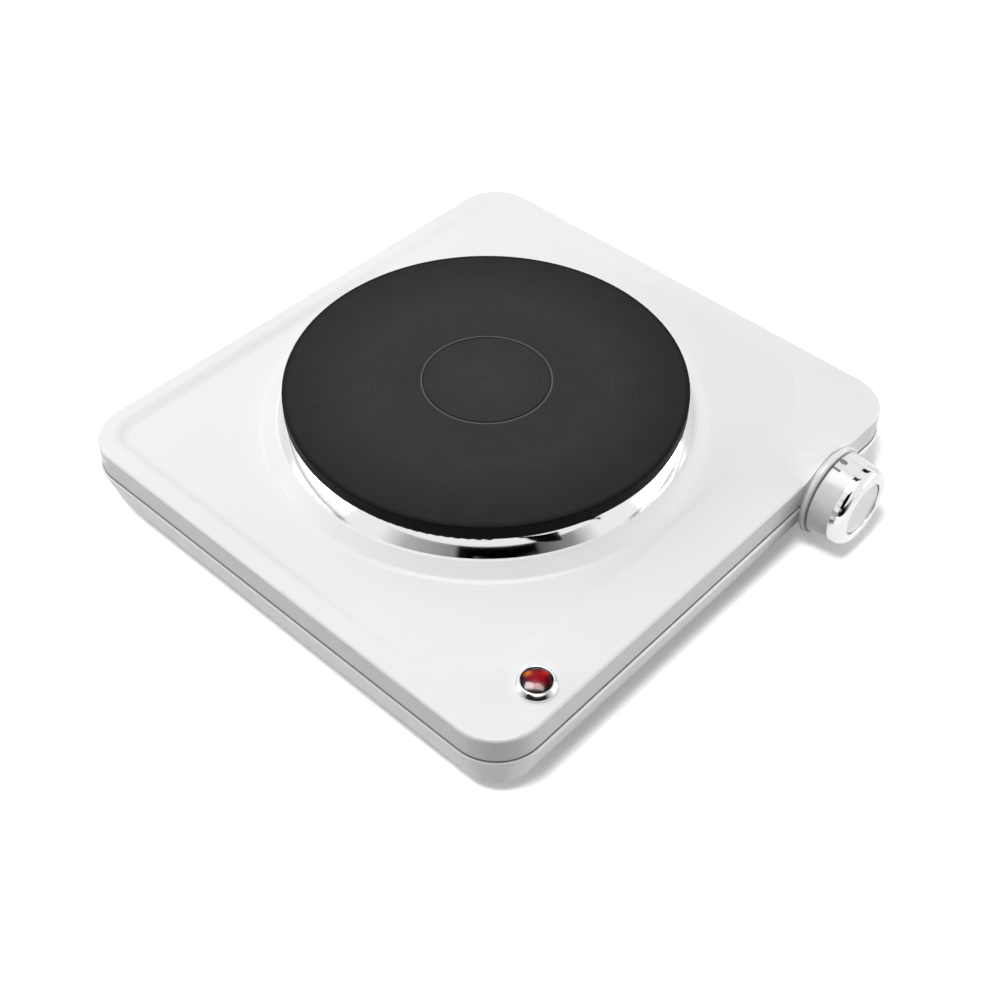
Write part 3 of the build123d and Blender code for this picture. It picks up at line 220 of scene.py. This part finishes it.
def colour_steps(tree, place, value, steps, high=1.0):
    """Colours by value: steps is a list of (share of the highest value, colour)."""
    share = rescale(tree, place, value, (0.0, high))
    ramp = add_node(tree, "ShaderNodeValToRGB", (place[0] + 200, place[1]))
    while len(ramp.color_ramp.elements) < len(steps):
        ramp.color_ramp.elements.new(0.5)
    for element, (position, colour) in zip(ramp.color_ramp.elements, steps):
        element.position = position
        element.color = colour
    tree.links.new(share, ramp.inputs["Fac"])
    return ramp.outputs["Color"]


def cast_iron_plate():
    """Black-coated turned iron: turning rings, a lighter middle and a painted highlight on the lip round the
    groove.
    """
    # The light grey ring at the groove is a painted highlight on its lip.
    coat, groove_highlight, rim = grey(0.031), grey(0.10), grey(0.002)
    ring_contrast = 0.3
    patch_scale = 22.0
    ring_relief, ring_depth = 0.25, 0.04 * MM
    made = make_material("cast_iron_coated", grey(0.010), 0.5, scale=90.0, colour_spread=0.35,
                         gloss_spread=0.5, Specular_IOR_Level=0.06)
    tree = made.tree
    radius = distance_from(tree, (-2400, 300), PLATE_CENTRE)
    tone = colour_steps(tree, (-1400, 500), radius, [
        (0.0, grey(0.040)), (0.317, coat), (0.3195, groove_highlight), (0.325, groove_highlight), (0.328, coat),
        (0.6, grey(0.033)), (0.97, grey(0.018)), (1.0, rim)], high=PLATE_RADIUS)
    wave = math_node(tree, (-1400, 100), "MULTIPLY", radius, 2 * math.pi / TURNING_PITCH)
    wave = math_node(tree, (-1220, 100), "SINE", wave)
    patch = add_node(tree, "ShaderNodeTexNoise", (-1400, -200))
    patch.inputs["Scale"].default_value = patch_scale
    swing = math_node(tree, (-1040, 0), "MULTIPLY", wave, patch.outputs["Fac"])
    shade = math_node(tree, (-860, 0), "MULTIPLY_ADD", swing, ring_contrast, 1.0)
    turned = add_node(tree, "ShaderNodeVectorMath", (-680, 300), operation="SCALE")
    tree.links.new(tone, turned.inputs[0])
    tree.links.new(shade, turned.inputs["Scale"])
    tree.links.new(turned.outputs[0], made.finish.inputs["Colour"])
    rings = add_node(tree, "ShaderNodeBump", (-80, -400))
    rings.inputs["Strength"].default_value = ring_relief
    rings.inputs["Distance"].default_value = ring_depth
    tree.links.new(wave, rings.inputs["Height"])
    tree.links.new(made.skin.outputs["Normal"], rings.inputs["Normal"])
    tree.links.new(rings.outputs["Normal"], made.shader.inputs["Normal"])
    return made.material


def crowned_steel(name, foot, rise, tilt):
    """Bright steel with a rolled profile: it leans back more and more from its foot to its top."""
    made = make_material(name, grey(0.82), 0.08, scale=120.0, skin=0.0, Metallic=1.0)
    tree = made.tree
    above = math_node(tree, (-820, -500), "SUBTRACT", split_place(tree, (-1200, -500))["Z"], foot)
    above = math_node(tree, (-640, -500), "MAXIMUM", above, 0.0)
    squared = math_node(tree, (-460, -500), "POWER", above, 2.0)
    fall_rate = -math.tan(math.radians(tilt)) / (2 * rise)
    fall = math_node(tree, (-280, -500), "MULTIPLY", squared, fall_rate)
    crown = add_node(tree, "ShaderNodeBump", (-80, -500))
    crown.inputs["Strength"].default_value = 1.0
    crown.inputs["Distance"].default_value = 1.0
    tree.links.new(fall, crown.inputs["Height"])
    tree.links.new(crown.outputs["Normal"], made.shader.inputs["Normal"])
    return made.material


def pan_enamel():
    """White enamel; the lip's inner edge and the neck that stand inside the cover are painted grey as the shade of
    the seam under the skirt.
    """
    white, seam_shade = grey(0.87), grey(0.3)
    made = make_material("enamel_pan", white, 0.3, scale=25.0, colour_spread=0.02, gloss_spread=0.0,
                         skin=0.0)
    tree = made.tree
    level = split_place(tree, (-1400, 500))["Z"]
    # Painted shade: the pan turns grey where it stands high inside the cover's outline, in the seam under the
    # skirt.
    high = math_node(tree, (-1000, 500), "GREATER_THAN", level, SKIRT_FOOT - NECK_DROP)
    inside = math_node(tree, (-1000, 300), "LESS_THAN", beyond_cover(tree, (-2800, 300)), SEAM_WIDTH)
    neck = math_node(tree, (-820, 400), "MULTIPLY", high, inside)
    tone = colour_steps(tree, (-640, 400), neck, [(0.0, white), (1.0, seam_shade)])
    tree.links.new(tone, made.finish.inputs["Colour"])
    return made.material


def glint(tree, place, tone, offset, size, colour):
    """A soft round painted glint in the lens's colour, at an offset from its middle, over the tone it is given."""
    strength = 0.9
    middle = (LENS_CENTRE[0] + offset[0], LENS_CENTRE[1] + offset[1])
    distance = distance_from(tree, place, middle)
    amount = rescale(tree, (place[0] + 1080, place[1]), distance, (0.0, size), (strength, 0.0),
                     "SMOOTHSTEP")
    mix = add_node(tree, "ShaderNodeMix", (place[0] + 1500, place[1]), data_type="RGBA")
    factor, first, second = mix.inputs[0], mix.inputs[6], mix.inputs[7]
    tree.links.new(amount, factor)
    tree.links.new(tone, first)
    second.default_value = colour
    return mix.outputs[2]


def red_lens():
    """Clear red moulding: deep red, dark maroon where it turns down, two warm painted glints inside the back."""
    orange, scarlet = (0.75, 0.16, 0.01, 1.0), (0.62, 0.004, 0.008, 1.0)
    made = make_material("lens_red", (0.3, 0.005, 0.006, 1.0), 0.2, scale=200.0, colour_spread=0.05,
                         skin=0.0, Specular_IOR_Level=0.08)
    tree = made.tree
    radius = distance_from(tree, (-3000, 300), LENS_CENTRE)
    tone = colour_steps(tree, (-2000, 500), radius, [
        (0.0, (0.30, 0.004, 0.010, 1.0)), (0.4, (0.24, 0.003, 0.008, 1.0)),
        (0.68, (0.08, 0.001, 0.004, 1.0)), (0.85, (0.02, 0.001, 0.002, 1.0)),
        (1.0, (0.006, 0.001, 0.001, 1.0))], high=LENS_RADIUS)
    # Two painted glints, orange and scarlet, mixed into the lens colour.
    tone = glint(tree, (-3000, -100), tone, offset=(-0.6 * MM, 4.4 * MM), size=2.6 * MM, colour=orange)
    tone = glint(tree, (-3000, -500), tone, offset=(4.2 * MM, -0.6 * MM), size=2.4 * MM, colour=scarlet)
    tree.links.new(tone, made.finish.inputs["Colour"])
    return made.material


# Name, colour, roughness and further values of each plain finish, by the record's slot
PLAIN_FINISHES = {
    "cover_enamel": ("enamel_cover", grey(0.83), 0.36, {"scale": 25.0, "skin": 0.05, "Coat_Weight": 0.1}),
    "bright_ring": ("bright_steel", grey(0.82), 0.09, {"scale": 120.0, "Metallic": 1.0}),
    "knob_plastic": ("knob_plastic", grey(0.80), 0.22, {"scale": 80.0, "Coat_Weight": 0.3}),
    "collar_plastic": ("collar_plastic", grey(0.80), 0.22, {"scale": 80.0, "Coat_Weight": 0.3}),
    "cap_grey": ("cap_grey", grey(0.66), 0.34, {"scale": 150.0, "Metallic": 0.85}),
    "foot_rubber": ("foot_rubber", grey(0.03), 0.7, {"scale": 200.0, "colour_spread": 0.3, "skin": 0.2}),
    "plated_steel": ("plated_steel", grey(0.6), 0.32,
                     {"scale": 150.0, "colour_spread": 0.15, "Metallic": 1.0}),
    "ceramic": ("ceramic", (0.70, 0.66, 0.58, 1.0), 0.55, {"scale": 200.0, "colour_spread": 0.1}),
    "brass": ("brass", (0.75, 0.52, 0.22, 1.0), 0.3,
              {"scale": 150.0, "colour_spread": 0.1, "Metallic": 1.0}),
    "coil_alloy": ("coil_alloy", (0.30, 0.26, 0.23, 1.0), 0.45, {"scale": 200.0, "Metallic": 1.0}),
    "wire_sleeve": ("wire_sleeve", (0.62, 0.60, 0.55, 1.0), 0.6, {"scale": 300.0, "colour_spread": 0.15}),
    "lamp_plastic": ("lamp_plastic", grey(0.04), 0.4, {"scale": 150.0, "colour_spread": 0.2}),
    "bulb_glass": ("bulb_glass", (0.9, 0.85, 0.8, 1.0), 0.05,
                   {"scale": 150.0, "Transmission_Weight": 0.8}),
}


def dress_nodes():
    """Every CAD node gets the material of its slot in the record; rolled rings get their own."""
    by_slot = {"pan_enamel": pan_enamel(), "cast_iron": cast_iron_plate(), "lens_red": red_lens()}
    for slot, (name, colour, roughness, values) in PLAIN_FINISHES.items():
        by_slot[slot] = make_material(name, colour, roughness, **values).material
    rolled = {
        "spill_ring": crowned_steel("bright_steel_ring", foot=51.0 * MM, rise=6.0 * MM, tilt=14.0),
        "lamp_bezel": crowned_steel("bright_steel_bezel", foot=47.2 * MM, rise=2.3 * MM, tilt=16.0),
    }
    for entry in frame["record"]["subparts"]:
        piece = nodes[entry["node"]]
        piece.data.materials.clear()
        piece.data.materials.append(rolled.get(entry["node"], by_slot[entry["material_slot"]]))


def dial_numbers():
    """Two bold printed numbers on the knob's upper side at its base."""
    size, weight = 4.4 * MM, 0.42 * MM
    middle_depth, proud = 7.4 * MM, 0.04 * MM
    ink = make_material("dial_print", grey(0.18), 0.5, scale=400.0, colour_spread=0.1).material
    for number, turn in (("1", -15.0), ("0", 0.0)):
        curve = bpy.data.curves.new("numeral", "FONT")
        curve.body = number
        curve.size = size
        curve.offset = weight
        curve.align_x = "CENTER"
        curve.align_y = "CENTER"
        flat = bpy.data.objects.new("numeral", curve)
        bpy.context.scene.collection.objects.link(flat)
        bpy.context.view_layer.update()
        evaluated = flat.evaluated_get(bpy.context.evaluated_depsgraph_get())
        mesh = bpy.data.meshes.new_from_object(evaluated)
        bpy.data.objects.remove(flat)
        for vertex in mesh.vertices:
            depth = middle_depth - vertex.co.y
            radius = KNOB_BASE_RADIUS - (depth - KNOB_BASE_DEPTH) * KNOB_TAPER + proud
            angle = math.radians(turn) + vertex.co.x / radius
            vertex.co = (KNOB_CENTRE[0] + radius * math.sin(angle), FRONT_WALL_Y - depth,
                         KNOB_CENTRE[1] + radius * math.cos(angle))
        mesh.materials.clear()
        mesh.materials.append(ink)
        mark = bpy.data.objects.new(f"dial_number_{number}", mesh)
        bpy.context.scene.collection.objects.link(mark)
        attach(mark, "knob")


def soft_box(name, place, width, height, watts, aim=(0, 0, 0)):
    """A rectangular studio lamp that looks at a point."""
    light = bpy.data.lights.new(name, "AREA")
    light.shape = "RECTANGLE"
    light.size = width
    light.size_y = height
    light.energy = watts
    lamp = bpy.data.objects.new(name, light)
    direction = Vector(aim) - Vector(place)
    facing = direction.to_track_quat("-Z", "Y").to_matrix().to_4x4()
    lamp.matrix_world = Matrix.Translation(place) @ facing
    bpy.context.scene.collection.objects.link(lamp)
    return lamp


def light_only(lamp, piece, state="INCLUDE"):
    """Keeps a lamp to one piece, or keeps it off that piece."""
    group = bpy.data.collections.new(lamp.name)
    group.objects.link(piece)
    group.collection_objects[0].light_linking.link_state = state
    lamp.light_linking.receiver_collection = group


def strip_lamp(name, start, stop, height, aim, watts):
    """A long lamp between two points that faces a third."""
    start, stop, aim = Vector(start), Vector(stop), Vector(aim)
    centre = (start + stop) / 2
    along = (stop - start).normalized()
    across = (centre - aim).cross(along).normalized()
    lamp = soft_box(name, centre, (stop - start).length, height, watts)
    matrix = Matrix((along, across, along.cross(across))).transposed().to_4x4()
    matrix.translation = centre
    lamp.matrix_world = matrix
    return lamp


def lens_glint():
    """Two strip lamps that show as a bright band in the red lens and light nothing else."""
    lens = (LENS_CENTRE[0], LENS_CENTRE[1], 50.0 * MM)
    corner = (-0.47, -0.08, 0.98)
    left_end, right_end = (-0.60, 0.55, 0.60), (0.10, -0.66, 0.80)
    height = 0.5
    left = strip_lamp("lens_strip_left", corner, left_end, height, lens, watts=130.0)
    right = strip_lamp("lens_strip_right", corner, right_end, height, lens, watts=80.0)
    for lamp in (left, right):
        lamp.visible_diffuse = False
        light_only(lamp, nodes["lamp_lens"])


def studio_lamps(floor):
    """Lamps round the object, a fill for the pan's wall, and one for the floor and its shadow."""
    walls = (0, 0, 20.0 * MM)
    soft_box("back", (0.3, 1.35, 0.9), width=1.4, height=0.8, watts=3.4)
    soft_box("left_side", (-1.0, 1.0, 0.5), width=1.0, height=0.7, watts=5.2, aim=walls)
    soft_box("front_side", (1.1, -1.0, 0.28), width=1.0, height=0.5, watts=8.5, aim=walls)
    pan_fill = soft_box("pan_fill", (1.0, -1.2, 0.2), width=1.0, height=0.3, watts=5.0, aim=walls)
    light_only(pan_fill, nodes["bottom_pan"])
    wide = soft_box("wide_lamp", (-0.1, 0.1, 1.5), width=0.9, height=0.9, watts=12.6)
    light_only(wide, floor, "EXCLUDE")
    small = soft_box("floor_lamp", (-0.6, -0.24, 1.38), width=0.3, height=0.3, watts=21.0)
    light_only(small, floor)


def studio_card(name, outline, levels):
    """A studio card that only polished surfaces see, with its grey levels from one end to the other."""
    mesh = bpy.data.meshes.new(name)
    columns = len(outline) // 2
    faces = [(i, i + 1, columns + i + 1, columns + i) for i in range(columns - 1)]
    mesh.from_pydata(outline, [], faces)
    across = mesh.uv_layers.new(name="across")
    for loop in mesh.loops:
        row, column = divmod(loop.vertex_index, columns)
        across.data[loop.index].uv = (column / (columns - 1), row)
    made = make_material(name, grey(0.0), 0.9, Specular_IOR_Level=0.0)
    tree = made.tree
    place = add_node(tree, "ShaderNodeUVMap", (-1200, -500), uv_map="across")
    split = add_node(tree, "ShaderNodeSeparateXYZ", (-1000, -500))
    tree.links.new(place.outputs["UV"], split.inputs[0])
    steps = [(share, grey(value)) for share, value in levels]
    level = colour_steps(tree, (-800, -500), split.outputs["X"], steps)
    tree.links.new(level, made.shader.inputs["Emission Color"])
    made.shader.inputs["Emission Strength"].default_value = 1.0
    mesh.materials.append(made.material)
    card = bpy.data.objects.new(name, mesh)
    card.visible_camera = False
    card.visible_diffuse = False
    card.visible_shadow = False
    card.visible_transmission = False
    bpy.context.scene.collection.objects.link(card)


def round_card(name, centre, radius, angles, heights, levels=((0.0, 0.0), (1.0, 0.0))):
    """A card bent round a point, between two compass angles and two heights; black unless it has levels."""
    columns = 25
    start, stop = angles
    outline = []
    for height in heights:
        for i in range(columns):
            angle = math.radians(start + (stop - start) * i / (columns - 1))
            x = centre[0] + radius * math.cos(angle)
            y = centre[1] + radius * math.sin(angle)
            outline.append((x, y, height))
    studio_card(name, outline, levels)


def studio_cards():
    """Cards for the dark and grey reflections in the spill ring, the bezel and the knob's trim ring."""
    ring_front, knob_left, knob_end = (-0.065, -0.052), (0.066, -0.139), (0.079, -0.137)
    ring_levels = [(0.0, 1.0), (0.12, 0.5), (0.34, 0.28), (0.36, 0.0), (0.71, 0.0), (0.73, 0.12), (0.88, 0.3),
                   (1.0, 1.0)]
    bezel_levels = [(0.0, 1.0), (0.1, 0.7), (0.25, 0.02), (0.75, 0.02), (0.9, 0.7), (1.0, 1.0)]
    round_card("card_ring", ring_front, radius=0.63, angles=(-192, -80), heights=(-0.05, 0.34),
               levels=ring_levels)
    round_card("card_lamp", LENS_CENTRE, radius=0.032, angles=(-215, -63), heights=(0.0465, 0.0605),
               levels=bezel_levels)
    round_card("card_knob_side", knob_left, radius=0.25, angles=(172, 202), heights=(0.03, 0.094))
    round_card("card_knob_mid", knob_left, radius=0.15, angles=(162, 206), heights=(0.094, 0.153))
    round_card("card_knob_over", knob_left, radius=0.08, angles=(158, 212), heights=(0.1, 0.36))
    round_card("card_knob_top", knob_end, radius=0.17, angles=(15, 72), heights=(0.35, 0.47))
    round_card("card_knob_back", knob_end, radius=0.32, angles=(5, 33), heights=(0.16, 0.26))


def white_world():
    """White to the camera and in reflections, and a soft studio level on matt surfaces."""
    matt_level, seen_level = 0.32, 1.0
    world = bpy.data.worlds.new("studio")
    world.use_nodes = True
    tree = world.node_tree
    background = tree.nodes["Background"]
    background.inputs["Color"].default_value = grey(1.0)
    path = add_node(tree, "ShaderNodeLightPath", (-700, 0)).outputs
    seen = math_node(tree, (-500, 0), "MAXIMUM", path["Is Camera Ray"], path["Is Glossy Ray"])
    seen = math_node(tree, (-320, 0), "MAXIMUM", seen, path["Is Transmission Ray"])
    level = rescale(tree, (-150, 0), seen, (0.0, 1.0), (matt_level, seen_level))
    tree.links.new(level, background.inputs["Strength"])
    bpy.context.scene.world = world


def floor_sheet():
    """A pale floor that keeps the object's shadow and throws a little light back on its walls; a glow that only
    the camera sees is painted light, weak near the object and full far off.
    """
    half = 6.0
    seen, mirrored, bounced = grey(0.95), grey(0.86), grey(0.15)
    fade_span, glow_levels = (0.3, 1.0), (0.17, 1.0)
    mesh = bpy.data.meshes.new("floor")
    corners = [(-half, -half, 0), (half, -half, 0), (half, half, 0), (-half, half, 0)]
    mesh.from_pydata(corners, [], [(0, 1, 2, 3)])
    floor = bpy.data.objects.new("floor", mesh)
    bpy.context.scene.collection.objects.link(floor)
    made = make_material("floor_paper", seen, 0.9, scale=2.0, colour_spread=0.004, Specular_IOR_Level=0.0)
    tree = made.tree
    path = add_node(tree, "ShaderNodeLightPath", (-900, -500)).outputs
    kind = math_node(tree, (-1100, 0), "MULTIPLY_ADD", path["Is Glossy Ray"], 0.5, path["Is Diffuse Ray"])
    tone = colour_steps(tree, (-900, 0), kind, [(0.0, seen), (0.5, mirrored), (1.0, bounced)])
    tree.links.new(tone, made.finish.inputs["Colour"])
    # Painted light: the camera-only glow grows from weak near the object to full far off, so the far floor reads
    # white.
    away = distance_from(tree, (-2000, -800), (0.0, 0.0))
    glow = rescale(tree, (-900, -800), away, fade_span, glow_levels, "SMOOTHSTEP")
    glow = math_node(tree, (-520, -500), "MULTIPLY", path["Is Camera Ray"], glow)
    made.shader.inputs["Emission Color"].default_value = grey(1.0)
    tree.links.new(glow, made.shader.inputs["Emission Strength"])
    mesh.materials.append(made.material)
    return floor


def place_camera():
    """The photo's viewpoint: turn and height of the view, a slight roll and a fixed place."""
    turn, height, roll = math.radians(-49.52), math.radians(46.05), math.radians(1.75)
    place = Vector((-370.88, -337.75, 517.98)) * MM
    level = math.cos(height)
    back = Vector((math.sin(turn) * level, -math.cos(turn) * level, math.sin(height)))
    right = Vector((math.cos(turn), math.sin(turn), 0.0))
    up = back.cross(right)
    rolled_right = right * math.cos(roll) + up * math.sin(roll)
    rolled_up = up * math.cos(roll) - right * math.sin(roll)
    matrix = Matrix((rolled_right, rolled_up, back)).transposed().to_4x4()
    matrix.translation = place
    data = bpy.data.cameras.new("camera")
    data.sensor_width = 36.0
    data.lens = 53.94
    data.shift_x = -0.045
    data.clip_start = 0.01
    data.clip_end = 50.0
    camera = bpy.data.objects.new("camera", data)
    camera.matrix_world = matrix
    bpy.context.scene.collection.objects.link(camera)
    bpy.context.scene.camera = camera


dress_nodes()
dial_numbers()
studio_lamps(floor_sheet())
lens_glint()
studio_cards()
white_world()
place_camera()
bpy.context.scene.view_settings.view_transform = "Standard"
